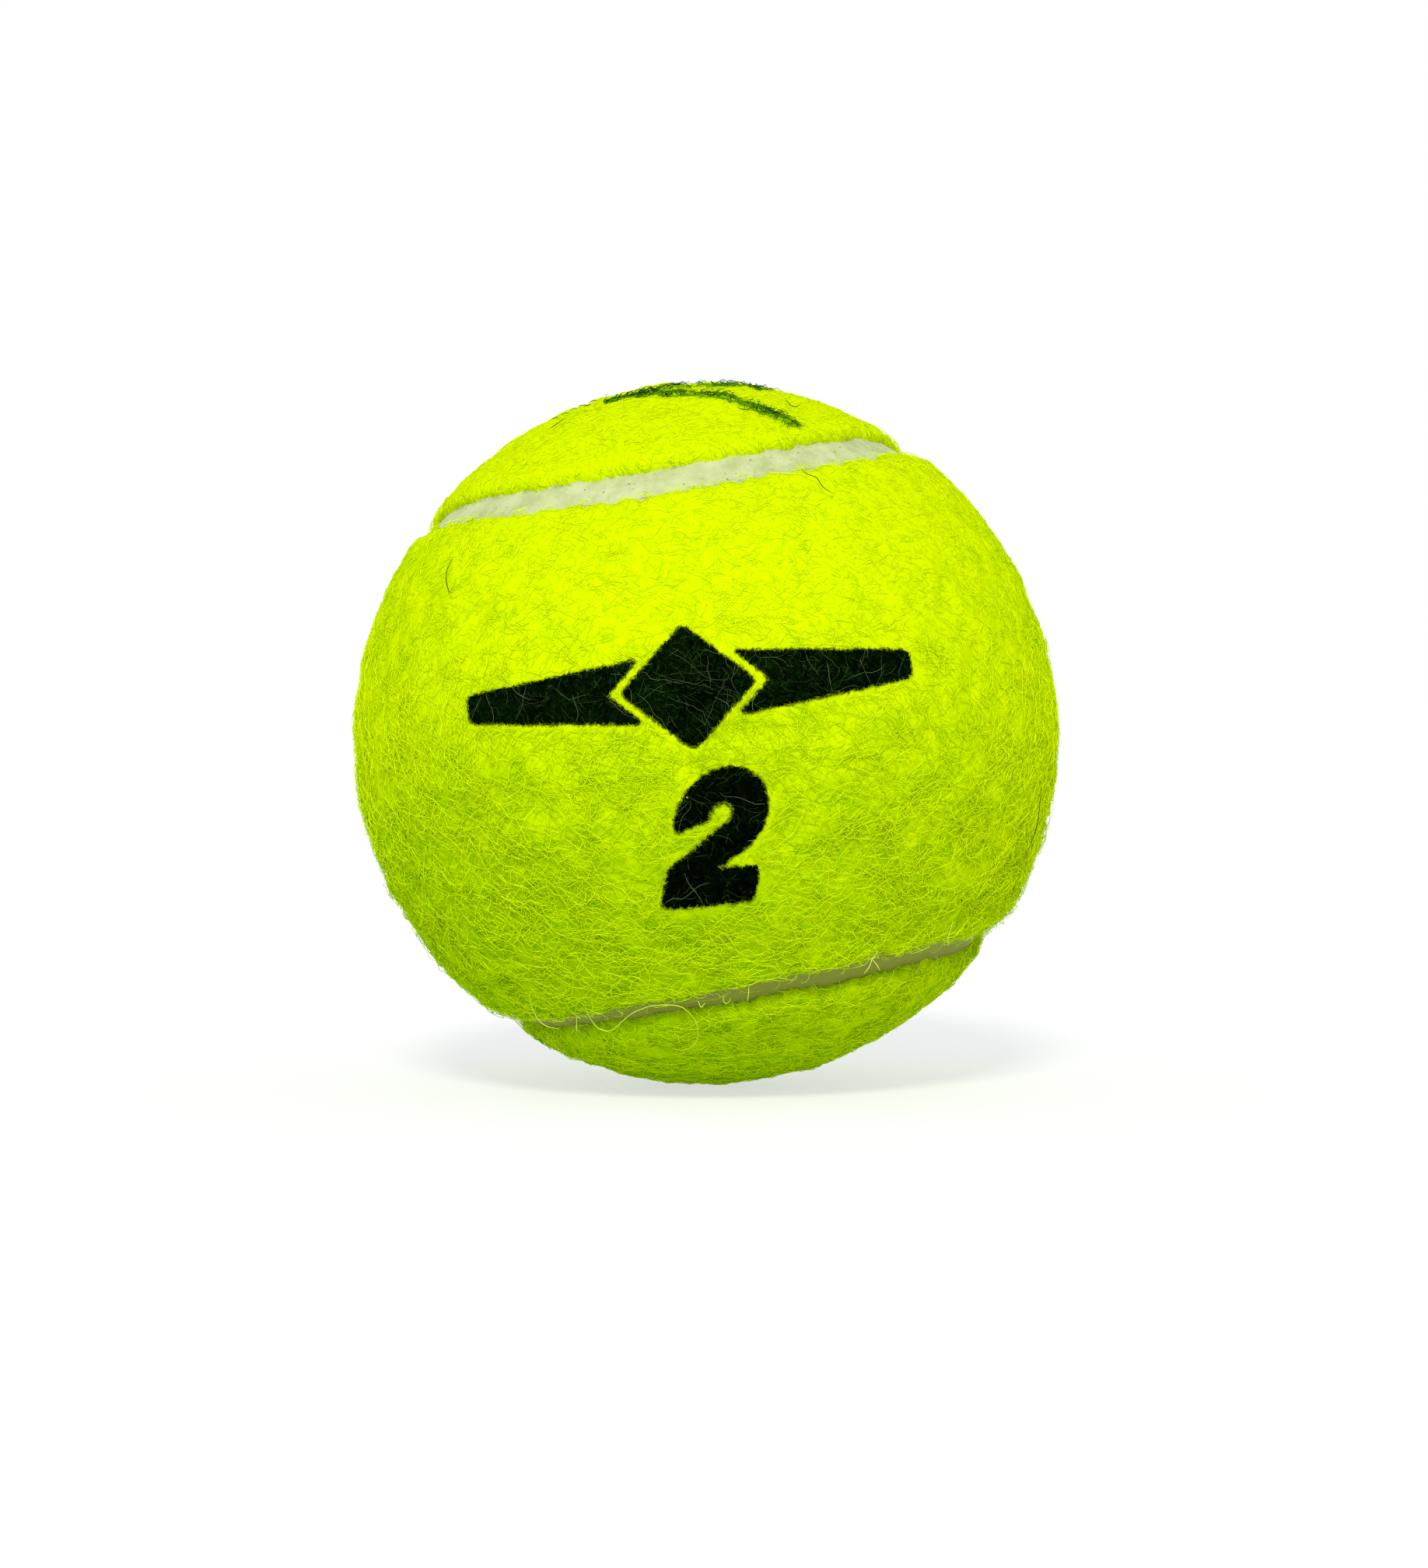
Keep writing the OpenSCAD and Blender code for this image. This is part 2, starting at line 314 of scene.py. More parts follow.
# Vulcanised seam rubber: pale, matt, with dull patches and small dark pits from the mould
seam_rubber_finish, tree, surface = new_material("vulcanised_seam_rubber")
place = add(tree, "TexCoord").outputs["Object"]
patch = add(tree, "TexNoise",
            {"Vector": place, "Scale": 1 / (2.4 * MM), "Detail": 5.0, "Roughness": 0.65})
shade = add(tree, "ValToRGB", [patch])
set_stops(shade, (0.36, SEAM_DULL), (0.62, SEAM_COLOUR))
grain = add(tree, "TexNoise", {"Vector": place, "Scale": 1 / (0.45 * MM), "Detail": 3.0})
pits = add(tree, "MapRange", {"Value": grain, "From Min": 0.66, "From Max": 0.73})
pitted = add(tree, "Mix", {"Factor": pits, 6: shade, 7: linear(SEAM_PIT)}, data_type="RGBA")
# Painted shade: the seam is painted darker under the belly
axes = add(tree, "SeparateXYZ", [place]).outputs
low = add(tree, "MapRange", {"Value": axes["Z"], "From Min": 0.1 * BALL_R, "From Max": -0.6 * BALL_R})
shaded_seam = add(tree, "Mix", {"Factor": low, 6: pitted, 7: linear(SEAM_BELLY_SHADE)}, data_type="RGBA")
relief = add(tree, "Bump", {"Height": grain, "Distance": 0.06 * MM, "Strength": 0.6})
feed(surface, {"Base Color": shaded_seam, "Normal": relief, "Roughness": 0.75, "Specular IOR Level": 0.3})

# The strip's section runs from under the front panel's edge to under the rear one's
strip_from, strip_to = EDGE_OFF["front"] + SEAM_BEDDED, -EDGE_OFF["rear"] - SEAM_BEDDED
rings = []
for i, share in enumerate(np.linspace(0, 1, 11)):
    lump = wander(14 * MM, 1.2 * MM, 40 + i // 3) * SEAM_LUMP
    rings.append(beside(seam_line, seam_inward, strip_from + (strip_to - strip_from) * share,
                        SEAM_R - SEAM_SAG * (2 * share - 1)**2 + lump))
for way_off in (strip_to, strip_from):
    rings.append(beside(seam_line, seam_inward, way_off, SEAM_FOOT_R))
points = np.concatenate(rings)
count = len(rings)
faces = [(j * SEAM_STEPS + i, j * SEAM_STEPS + (i + 1) % SEAM_STEPS,
          (j + 1) % count * SEAM_STEPS + (i + 1) % SEAM_STEPS, (j + 1) % count * SEAM_STEPS + i)
         for j in range(count) for i in range(SEAM_STEPS)]
seam_strip = new_object("seam_strip", points, faces, seam_rubber_finish)
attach(seam_strip, "root")
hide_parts("seam_rubber")

# The felt's ground. Each panel is a dog-bone of milled felt, pressed on with its edges rounded down
# to the seam. Its ground is the dense mat under the loose fibres: lumpy, and wavy along its edges.
GRID = 96
GROUND_DROP = 0.4 * MM
FOOT_DEPTH, FOOT_THICK = 0.6 * MM, 0.2 * MM
LIP_W = 1.4 * MM
LIP_BLEND = 6 * MM
# Between these heights the felt passes from the fluffy belly to the pressed crown
PRESSED_FROM, PRESSED_TO = -0.2 * BALL_R, 0.35 * BALL_R
PRESSED_SHARE = 0.85
EDGE_WAVE, EDGE_JAG = 0.14 * MM, 0.09 * MM
# The felt's colours from its raised streaks down to its hollows, whose darker colour is partly painted
# shade
FELT_BRIGHT, FELT_MID, FELT_DEEP = "#d1e900", "#c9e500", "#b0d000"
# The colour that paints shade onto the belly's felt
BELLY_PAINTED_SHADE = "#d0e2ff"
# The felt's own tone, how uneven it is in patches; and its painted shade: how much darker the crown's
# sides are painted than its middle, and how much darker the belly's left side is painted than its right
DYE_PATCH, DYE_UNEVEN = 2.4 * MM, 0.26
PAINTED_SIDE_SHADE, PAINTED_SHADE_LEAN = 1.18, 0.9
SWIRL_SIZE, SPOT_SIZE = 1.6 * MM, 0.55 * MM
# Real fibres are a fiftieth of a millimetre thick, and are drawn coarser so that they show
STREAK_L, STREAK_W = 1.3 * MM, 0.12 * MM
STREAK_TURNS = (0, 0, 0), (60, 35, 20), (-35, 70, 80), (20, -50, 120)


def merged(points):
    """Points without their doubles, and which of them each point became."""
    key = np.round(points * 1e6).astype(np.int64)
    _, first, same = np.unique(key, axis=0, return_index=True, return_inverse=True)
    return points[first], same.reshape(-1)


def ball_grid(n):
    """Points and squares of a cube blown up to a ball of radius one, all squares of nearly one size."""
    steps = np.tan(np.linspace(-math.pi / 4, math.pi / 4, n + 1))
    u, v = np.meshgrid(steps, steps, indexing="ij")
    points, faces = [], []
    index = np.arange((n + 1)**2).reshape(n + 1, n + 1)
    square = np.stack([index[:-1, :-1], index[1:, :-1], index[1:, 1:], index[:-1, 1:]], axis=-1)
    for axis in range(3):
        for side in (-1, 1):
            p = np.empty((n + 1, n + 1, 3))
            p[..., axis] = side
            p[..., (axis + 1) % 3] = u * side
            p[..., (axis + 2) % 3] = v
            faces.append(square.reshape(-1, 4) + len(points) * (n + 1)**2)
            points.append(p.reshape(-1, 3))
    points, same = merged(unit(np.concatenate(points)))
    return points, same[np.concatenate(faces)]


# The lip's profile from its foot in the rubber up to the ball: how far along, how far back, how high
rise = np.radians(np.linspace(0, 90, 19))
lip_back = np.concatenate([[0], LIP_W * (1 - np.cos(rise))])
lip_high = np.concatenate([[-FOOT_DEPTH], (SEAM_DROP - GROUND_DROP) * np.sin(rise)])
lip_along = np.concatenate([[0], np.cumsum(np.hypot(np.diff(lip_back), np.diff(lip_high)))])

grid_points, grid_faces = ball_grid(GRID)
seam_tree = kdtree.KDTree(SEAM_STEPS)
for i, p in enumerate(seam_line):
    seam_tree.insert(p, i)
seam_tree.balance()
nearest = np.array([seam_tree.find(p)[1] for p in grid_points])
foot = seam_line[nearest]
along = np.einsum("ij,ij->i", grid_points - foot, seam_way[nearest])
foot = unit(foot + along[:, None] * seam_way[nearest])
across = grid_points - foot * np.einsum("ij,ij->i", grid_points, foot)[:, None]
across_size = np.linalg.norm(across, axis=1, keepdims=True)
across /= np.maximum(across_size, 1e-9)
side_of = np.sign(np.einsum("ij,ij->i", across, seam_inward[nearest]))
distance = np.arctan2(across_size[:, 0], np.einsum("ij,ij->i", grid_points, foot)) * BALL_R


def set_values(mesh, name, values):
    """Gives each point of a mesh a value under a name."""
    made = mesh.attributes.new(name, "FLOAT", "POINT")
    made.data.foreach_set("value", np.array(values, dtype=np.float32))


def felt_panel(name, edge, side, seed):
    """A panel's closed ground: the grid on its side of the seam, wrapped over the lip to the foot."""
    edge = edge + EDGE_WAVE * wander(14 * MM, 2.5 * MM, seed)
    edge = edge + EDGE_JAG * wander(2.4 * MM, 0.9 * MM, seed + 50)
    inside = distance * side_of * side - edge[nearest]
    cell = math.pi / 2 / GRID * BALL_R
    inside = np.where(np.abs(inside) < 0.55 * cell, 0.0, inside)
    faces = grid_faces[(inside[grid_faces] >= 0).all(axis=1)]
    used, faces = np.unique(faces, return_inverse=True)
    faces = faces.reshape(-1, 4)
    gain = (lip_along[-1] + LIP_BLEND - LIP_W) / LIP_BLEND
    run = np.where(inside < LIP_BLEND, inside * gain, lip_along[-1] - LIP_W + inside)[used]
    over = np.maximum(run - lip_along[-1], 0)
    off = edge[nearest[used]] + np.interp(run, lip_along, lip_back) + over
    r = SEAM_R + np.interp(run, lip_along, lip_high)
    bend = (off / BALL_R)[:, None]
    where = foot[used] * np.cos(bend) + across[used] * np.sin(bend)
    outer = where * r[:, None]
    inner = where * (SEAM_R - FOOT_DEPTH - FOOT_THICK)
    n = len(used)
    sides = dict.fromkeys((a, b) for f in faces.tolist() for a, b in zip(f, f[1:] + f[:1]))
    rim = [(a, b) for a, b in sides if (b, a) not in sides]
    walls = [(b, a, a + n, b + n) for a, b in rim]
    every = [*faces.tolist(), *(faces[:, ::-1] + n).tolist(), *walls]
    mesh = bpy.data.meshes.new(name)
    mesh.from_pydata(np.concatenate([outer, inner]).tolist(), [], every)
    set_values(mesh, "raised", np.concatenate([np.clip(run / lip_along[-1], 0, 1), np.zeros(n)]))
    mesh.polygons.foreach_set("use_smooth", [True] * len(mesh.polygons))
    return mesh


def painted_light_and_patches(tree, place, start, end, uneven, **settings):
    """Painted light and shade, with the felt's own uneven tone in patches: how far a place lies from
    one height to another, from 0 to 1. The crown's sides count as lower than its middle, and the
    belly's left side as lower than its right, so that they are painted darker."""
    axes = add(tree, "SeparateXYZ", [place]).outputs
    side = add(tree, "Math", [axes["X"], PAINTED_SIDE_SHADE / BALL_R], "MULTIPLY")
    side = add(tree, "Math", [side, 2.0], "POWER")
    above = add(tree, "Math", [axes["Z"], 0.0], "MAXIMUM")
    less = add(tree, "Math", [above, side], "MULTIPLY")
    below = add(tree, "Math", [axes["Z"], 0.0], "MINIMUM")
    lean = add(tree, "Math", [axes["X"], PAINTED_SHADE_LEAN / BALL_R], "MULTIPLY")
    less = add(tree, "Math", [below, lean, less], "MULTIPLY_ADD")
    height = add(tree, "Math", [axes["Z"], less], "SUBTRACT")
    far = add(tree, "MapRange", {"Value": height, "From Min": start, "From Max": end}, **settings)
    patch = add(tree, "TexNoise", {"Vector": place, "Scale": 1 / DYE_PATCH})
    patch = add(tree, "MapRange",
                {"Value": patch, "From Min": 0.3, "From Max": 0.7, "To Min": -uneven, "To Max": uneven})
    return add(tree, "Math", [far, patch], use_clamp=True)


def felt_finish(name, deep, middle, bright):
    """Milled felt: soft spots under half a millimetre wide, crossed by the streaks of matted fibres.
    The colour of its hollows, where its bump is lowest, is partly its own tone and partly painted
    shade. It gives back no white shine, so its colour stays pure."""
    made, tree, surface = new_material(name)
    place = add(tree, "TexCoord").outputs["Object"]
    swirl = add(tree, "TexNoise", {"Vector": place, "Scale": 1 / SWIRL_SIZE})
    bend = add(tree, "VectorMath", [swirl.outputs["Color"], (0.5, 0.5, 0.5)], "SUBTRACT")
    bend = add(tree, "VectorMath", {0: bend, "Scale": SWIRL_SIZE}, "SCALE")
    bent = add(tree, "VectorMath", [place, bend])
    most = None
    for turn in STREAK_TURNS:
        lain = add(tree, "Mapping", {"Vector": bent, "Rotation": np.radians(turn)})
        drawn = add(tree, "Mapping",
                    {"Vector": lain, "Scale": (1 / STREAK_L, 1 / STREAK_W, 1 / STREAK_W)})
        streak = add(tree, "TexNoise", {"Vector": drawn, "Scale": 1.0, "Detail": 1.0})
        most = streak if most is None else add(tree, "Math", [most, streak], "MAXIMUM")
    spots = add(tree, "TexNoise",
                {"Vector": bent, "Scale": 1 / SPOT_SIZE, "Detail": 3.0, "Roughness": 0.6})
    depth = add(tree, "Mix", {"Factor": 0.5, 2: most, 3: spots})
    shade = add(tree, "ValToRGB", [depth])
    set_stops(shade, (0.44, deep), (0.64, bright), (0.53, middle))
    # Painted light and shade: the crown is painted lighter, and the belly darker and greener
    low = painted_light_and_patches(tree, place, 0.26 * BALL_R, -0.65 * BALL_R, DYE_UNEVEN, clamp=False)
    shaded_felt = add(tree, "Mix", {"Factor": low, 6: shade, 7: linear(BELLY_PAINTED_SHADE)}, data_type="RGBA",
               blend_type="MULTIPLY")
    relief = add(tree, "Bump", {"Height": depth, "Distance": 0.5 * MM, "Strength": 0.45})
    feed(surface, {"Base Color": shaded_felt, "Normal": relief, "Roughness": 1.0, "Specular IOR Level": 0.0})
    return made


felt_ground = felt_finish("dyed_wool_felt", FELT_DEEP, FELT_MID, FELT_BRIGHT)


def modified(source, tree, **values):
    """The plain mesh that a tree of nodes makes of a mesh, with the tree's inputs set by name."""
    holder = placed("holder", source)
    made = holder.modifiers.new("made", "NODES")
    made.node_group = tree
    for item in tree.interface.items_tree:
        if item.in_out == "INPUT" and item.name.replace(" ", "_") in values:
            made[item.identifier] = values[item.name.replace(" ", "_")]
    graph = bpy.context.evaluated_depsgraph_get()
    mesh = bpy.data.meshes.new_from_object(holder.evaluated_get(graph))
    bpy.data.objects.remove(holder)
    return mesh


def new_tree(name, **labels):
    """An empty tree of geometry nodes, with the names of its inputs given for each kind of socket."""
    tree = bpy.data.node_groups.new(name, "GeometryNodeTree")
    for kind, names in {"Geometry": ["Geometry"], **labels}.items():
        for label in names:
            tree.interface.new_socket(label, in_out="INPUT", socket_type="NodeSocket" + kind)
    tree.interface.new_socket("Geometry", in_out="OUTPUT", socket_type="NodeSocketGeometry")
    return tree


# The ground's lumps, as the milling leaves them
lumps = new_tree("felt_lumps", Float=["Lump height", "Lump size", "Grain height", "Grain size"],
                 Material=["Finish"])
given = add(lumps, "GroupInput").outputs
where = add(lumps, "InputPosition")
raised = add(lumps, "InputNamedAttribute", {"Name": "raised"})
total = None
for label in ("Lump", "Grain"):
    often = add(lumps, "Math", [1.0, given[label + " size"]], "DIVIDE")
    noise = add(lumps, "TexNoise", {"Vector": where, "Scale": often})
    centred = add(lumps, "Math", [noise, 0.5], "SUBTRACT")
    high = add(lumps, "Math", [centred, given[label + " height"]], "MULTIPLY")
    total = high if total is None else add(lumps, "Math", [total, high])
total = add(lumps, "Math", [total, raised], "MULTIPLY")
# The crown has been pressed a little smoother
axes = add(lumps, "SeparateXYZ", [where]).outputs
flat = add(lumps, "MapRange",
           {"Value": axes["Z"], "From Min": PRESSED_FROM, "From Max": PRESSED_TO, "To Min": 1.0,
            "To Max": PRESSED_SHARE})
total = add(lumps, "Math", [total, flat], "MULTIPLY")
outward = add(lumps, "InputNormal")
shift = add(lumps, "VectorMath", {0: outward, "Scale": total}, "SCALE")
moved = add(lumps, "SetPosition", {"Geometry": given["Geometry"], "Offset": shift})
real = add(lumps, "RealizeInstances", [moved])
dressed = add(lumps, "SetMaterial", {"Geometry": real, "Material": given["Finish"]})
add(lumps, "GroupOutput", [dressed])

ground = {}
for side, sign, seed in (("front", 1, 11), ("rear", -1, 12)):
    bare = felt_panel("felt_ground_" + side, EDGE_OFF[side], sign, seed)
    mesh = modified(bare, lumps, Lump_height=1.1 * MM, Lump_size=2.8 * MM, Grain_height=0.35 * MM,
                    Grain_size=0.9 * MM, Finish=felt_ground)
    piece = placed("felt_ground_" + side, mesh)
    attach(piece, "root")
    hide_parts("felt_nap_" + side)
    ground[side] = piece

# The prints. Black ink is printed into the felt, so each is a skin of the felt with the same lumps.
# Their outlines come from the frame's own solids, and the ink has crept a little past them.
INK_COLOUR, INK_WORN = "#020701", "#081504"
THIN_INK_COLOUR, THIN_INK_WORN = "#040e02", "#0c2406"
INK_LIFT = 0.07 * MM
INK_RAGGED, INK_SPREAD = 0.08 * MM, 0.09 * MM
# The axes that the marks are seen along
FROM_FRONT, FROM_TOP = 1, 2
PATCH_STEP = 0.35 * MM
SKIN_DEPTH = 0.3 * MM


def outwards(loop):
    """At each point of a flat closed line, the direction square to it and away from its inside."""
    way = unit(np.roll(loop, -1, axis=0) - np.roll(loop, 1, axis=0))
    return np.stack([way[:, 1], -way[:, 0]], axis=1)


def skin_patch(name, node, view_axis, material, seed, lift, ragged, rounds, spread):
    """A closed skin on the ground under a frame node's outline, seen along an axis. Its points lie on
    an even grid and along the outline, which is rounded off, spread outwards and made ragged."""
    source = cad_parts[node].data
    rows = [i for i in range(3) if i != view_axis]
    points, same = merged(np.array([v.co[:] for v in source.vertices]))
    sides = set()
    for f in source.polygons:
        corners = [int(same[v]) for v in f.vertices]
        on_top = min(np.linalg.norm(points[c]) for c in corners) > BALL_R - 0.02 * MM
        if on_top and len(set(corners)) == 3:
            sides |= {(a, b) for a, b in zip(corners, corners[1:] + corners[:1])}
    follows = {a: b for a, b in sides if (b, a) not in sides}
    chance = np.random.default_rng(seed)
    outline, edges = [], []
    while follows:
        start = next(iter(follows))
        loop, at = [start], follows.pop(start)
        while at != start and at in follows:
            loop.append(at)
            at = follows.pop(at)
        flat = points[loop][:, rows]
        dense = []
        for a, b in zip(flat, np.roll(flat, -1, axis=0)):
            steps = max(1, int(np.linalg.norm(b - a) / (0.5 * PATCH_STEP)))
            dense += [a + (b - a) * k / steps for k in range(steps)]
        dense = np.array(dense)
        for _ in range(rounds):
            dense = (np.roll(dense, 1, axis=0) + 2 * dense + np.roll(dense, -1, axis=0)) / 4
        dense = dense + spread * outwards(dense)
        dense = dense + chance.uniform(-ragged, ragged, (len(dense), 1)) * outwards(dense)
        n = len(outline)
        outline += dense.tolist()
        edges += [(n + i, n + (i + 1) % len(dense)) for i in range(len(dense))]
    outline = np.array(outline)
    low, high = outline.min(0), outline.max(0)
    ends = np.array([(outline[a], outline[b]) for a, b in edges])

    def within(p):
        a, b = ends[:, 0], ends[:, 1]
        level = (a[:, 1] > p[1]) != (b[:, 1] > p[1])
        with np.errstate(divide="ignore", invalid="ignore"):
            cross = a[:, 0] + (p[1] - a[:, 1]) / (b[:, 1] - a[:, 1]) * (b[:, 0] - a[:, 0])
        return bool((level & (cross > p[0])).sum() % 2)

    grid = [np.array((x, y)) + chance.uniform(-0.2, 0.2, 2) * PATCH_STEP
            for x in np.arange(low[0], high[0], PATCH_STEP)
            for y in np.arange(low[1], high[1], PATCH_STEP)]
    grid = [p for p in grid if within(p) and np.min(np.abs(outline - p).sum(1)) > 0.6 * PATCH_STEP]
    flat = [Vector(p) for p in [*outline, *grid]]
    flat, _, triangles, *_ = geometry.delaunay_2d_cdt(flat, edges, [], 0, 1e-9)
    flat = np.array([p[:] for p in flat])
    triangles = [t for t in triangles if within(flat[list(t)].mean(0))]
    sign = np.sign(points[:, view_axis].mean())
    place = np.zeros((len(flat), 3))
    place[:, rows] = flat
    place[:, view_axis] = sign * np.sqrt(BALL_R**2 - (flat**2).sum(1))
    outward = unit(place)
    graph = bpy.context.evaluated_depsgraph_get()
    trees = [BVHTree.FromObject(piece, graph) for piece in ground.values()]
    reach = []
    for way in outward:
        hits = [t.ray_cast(Vector(way * BALL_R * 1.1), Vector(-way))[0] for t in trees]
        reach.append(max(hit.length for hit in hits if hit is not None))
    reach = np.array(reach)[:, None]
    n = len(flat)
    a, b, c = (place[[t[i] for t in triangles]] for i in range(3))
    facing = np.einsum("ij,ij->i", np.cross(b - a, c - a), a)
    triangles = [t if d > 0 else t[::-1] for t, d in zip(triangles, facing)]
    sides = {(t[i], t[(i + 1) % 3]) for t in triangles for i in range(3)}
    walls = [(j, i, i + n, j + n) for i, j in sides if (j, i) not in sides]
    faces = [*triangles, *(tuple(i + n for i in t[::-1]) for t in triangles), *walls]
    skin = np.concatenate([outward * (reach + lift), outward * (reach - SKIN_DEPTH)])
    made = new_object(name, skin, faces, material)
    set_values(made.data, "raised", np.repeat([1.0, 0.0], n))
    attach(made, "root")
    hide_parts(node)
    return made


# Printed ink soaks every fibre black, and leaves it matt
ink = felt_finish("black_print_on_felt", INK_COLOUR, INK_COLOUR, INK_WORN)
# The ornament's ink went on thinner, and the felt's green shows through it
thin_ink = felt_finish("thin_black_print_on_felt", THIN_INK_COLOUR, THIN_INK_COLOUR, THIN_INK_WORN)
print_edge = {"lift": INK_LIFT, "ragged": INK_RAGGED, "rounds": 8, "spread": INK_SPREAD}
numeral = skin_patch("numeral_skin", "number_print", FROM_FRONT, ink, seed=21, **print_edge)
ornament = skin_patch("ornament_skin", "ornament_print", FROM_FRONT, thin_ink, seed=22, **print_edge)

# The pen mark. A green felt-tip pen was drawn over the crown and caught the tops of the fibres
# only, so the felt shows through and the line's edges are rough.
PEN_COLOUR, PEN_THIN, PEN_BARE = "#4c9410", "#9cd408", "#c8ec04"
PEN_LIFT, PEN_RAGGED = 0.04 * MM, 0.14 * MM
# Pen ink: dark in the middle of a stroke, and thin where the tip skipped
pen = felt_finish("green_pen_ink_on_felt", PEN_COLOUR, PEN_THIN, PEN_BARE)
pen_line = skin_patch("pen_line_skin", "pen_mark", FROM_TOP, pen, lift=PEN_LIFT, ragged=PEN_RAGGED,
                      rounds=2, spread=0.0, seed=23)

# The pile. Wool and nylon fibres, teased up and felted down again, lie curled over the ground, short
# ones below and long ones above. They are drawn two or three times as thick as real ones, so that
# they show. They are combed round the ball, but the crown has only short stubble, turned upwards.
UNDER_DENSITY, TOP_DENSITY = 0.92 / MM**2, 0.42 / MM**2
UNDER_LENGTH, TOP_LENGTH = 2.2 * MM, 5.2 * MM
UNDER_W, TOP_W = 0.085 * MM, 0.06 * MM
UNDER_POINTS, TOP_POINTS = 5, 10
TUFT_SIZE = 3.2 * MM
STUBBLE_FROM = -0.1 * BALL_R
# A fibre roots where the ground is raised this far, from 0 at the panel's foot to 1 on the ball
ROOTED_FROM = 0.3
CURL_SLICES = 900.0
# On the crown, a fibre's height, and so its painted light, counts this much more in its tone
CROWN_LIGHT_GAIN = 2.1
# The second and third draws of a fibre's chance add these to its seed
HEADING_DRAW, SIZE_DRAW = 1000.0, 2000.0
TONES = 16

fibres = new_tree("felt_fibres", Float=["Density", "Length", "Thickness", "Curl", "Curl size", "Sink",
                                        "Lift", "Margin", "Pressed", "Stub", "Painted_light", "Stray"],
                  Int=["Points", "Seed"], Bool=["Inside", "Trim"], Object=["Print"],
                  Material=["Finish"])
given = add(fibres, "GroupInput").outputs
raised = add(fibres, "InputNamedAttribute", {"Name": "raised"})
on_top = add(fibres, "Compare", [raised, ROOTED_FROM])
# Milling gathers the fibres into loose tufts, with thinner patches between them
where = add(fibres, "InputPosition")
tufts = add(fibres, "TexNoise", {"Vector": where, "Scale": 1 / TUFT_SIZE})
tufts = add(fibres, "MapRange",
            {"Value": tufts, "From Min": 0.35, "From Max": 0.65, "To Min": 0.25, "To Max": 1.75})
tufts = add(fibres, "Math", [tufts, given["Density"]], "MULTIPLY")
roots = add(fibres, "DistributePointsOnFaces",
            {"Mesh": given["Geometry"], "Selection": on_top, "Density": tufts, "Seed": given["Seed"]})


def beyond(geometry):
    """Deletes points on the wrong side of the print's edge: those off it, or those on it."""
    shape = add(fibres, "ObjectInfo", {"Object": given["Print"]}).outputs
    gap = add(fibres, "Proximity", [shape["Geometry"]]).outputs
    on = add(fibres, "Compare", [gap["Distance"], given["Margin"]], "LESS_THAN")
    wrong = add(fibres, "BooleanMath", [on, given["Inside"]], "XOR")
    wrong = add(fibres, "BooleanMath", [wrong, gap["Is Valid"]])
    return add(fibres, "DeleteGeometry", {"Geometry": geometry, "Selection": wrong})


own = add(fibres, "RandomValue", {8: given["Seed"]})
numbered = add(fibres, "StoreNamedAttribute", {"Geometry": beyond(roots), "Name": "own", "Value": own})
# Painted light and shade: a fibre's tone is partly chance and partly its height, so the crown is
# painted lighter and the belly darker
axes = add(fibres, "SeparateXYZ", [where]).outputs
even = add(fibres, "Math", [given["Painted_light"], CROWN_LIGHT_GAIN], "MULTIPLY")
even = add(fibres, "MapRange",
           {"Value": axes["Z"], "From Min": -0.3 * BALL_R, "From Max": 0.25 * BALL_R,
            "To Min": given["Painted_light"], "To Max": even})
height = painted_light_and_patches(fibres, where, -1.0 * BALL_R, 0.36 * BALL_R, -DYE_UNEVEN)
shade = add(fibres, "Mix", {"Factor": even, 2: own, 3: height})
toned = add(fibres, "StoreNamedAttribute", {"Geometry": numbered, "Name": "shade", "Value": shade})
spaces = add(fibres, "Math", [given["Points"], 1.0], "SUBTRACT")
space = add(fibres, "Math", [1.0, spaces], "DIVIDE")
step = add(fibres, "CombineXYZ", {"X": space})
line = add(fibres, "MeshLine",
           {"Count": given["Points"], "Start Location": (-0.5, 0, 0), "Offset": step})
# Each fibre strays from the combed way by an angle of its own, more so on the crown, where it is
# shorter and turned towards the top
crown = {"Value": axes["Z"], "From Min": STUBBLE_FROM, "From Max": PRESSED_TO}
short = add(fibres, "MapRange", {**crown, "To Min": 1.0, "To Max": given["Stub"]})
upward = add(fibres, "MapRange", {**crown, "To Max": math.pi / 2})
round_ball = add(fibres, "VectorMath", [(0, 0, 1), roots.outputs["Normal"]], "CROSS_PRODUCT")
combed = add(fibres, "AxesToRotation", [roots.outputs["Normal"], round_ball])
draw = add(fibres, "Math", [given["Seed"], HEADING_DRAW])
heading = add(fibres, "RandomValue", {2: -1.0, 3: 1.0, 8: draw})
heading = add(fibres, "Math", [heading, given["Stray"]], "MULTIPLY")
wilder = add(fibres, "Math", [upward, 1.0])
heading = add(fibres, "Math", [heading, wilder], "MULTIPLY")
heading = add(fibres, "Math", [heading, upward])
spin = add(fibres, "AxisAngleToRotation", {"Axis": (0, 0, 1), "Angle": heading})
turned = add(fibres, "RotateRotation", {"Rotation": combed, "Rotate By": spin}, rotation_space="LOCAL")
draw = add(fibres, "Math", [given["Seed"], SIZE_DRAW])
size = add(fibres, "RandomValue", {2: 0.5, 3: 1.5, 8: draw})
size = add(fibres, "Math", [size, given["Length"]], "MULTIPLY")
size = add(fibres, "Math", [size, short], "MULTIPLY")
strands = add(fibres, "InstanceOnPoints",
              {"Points": toned, "Instance": line, "Rotation": turned, "Scale": size})
strands = add(fibres, "RealizeInstances", [strands])
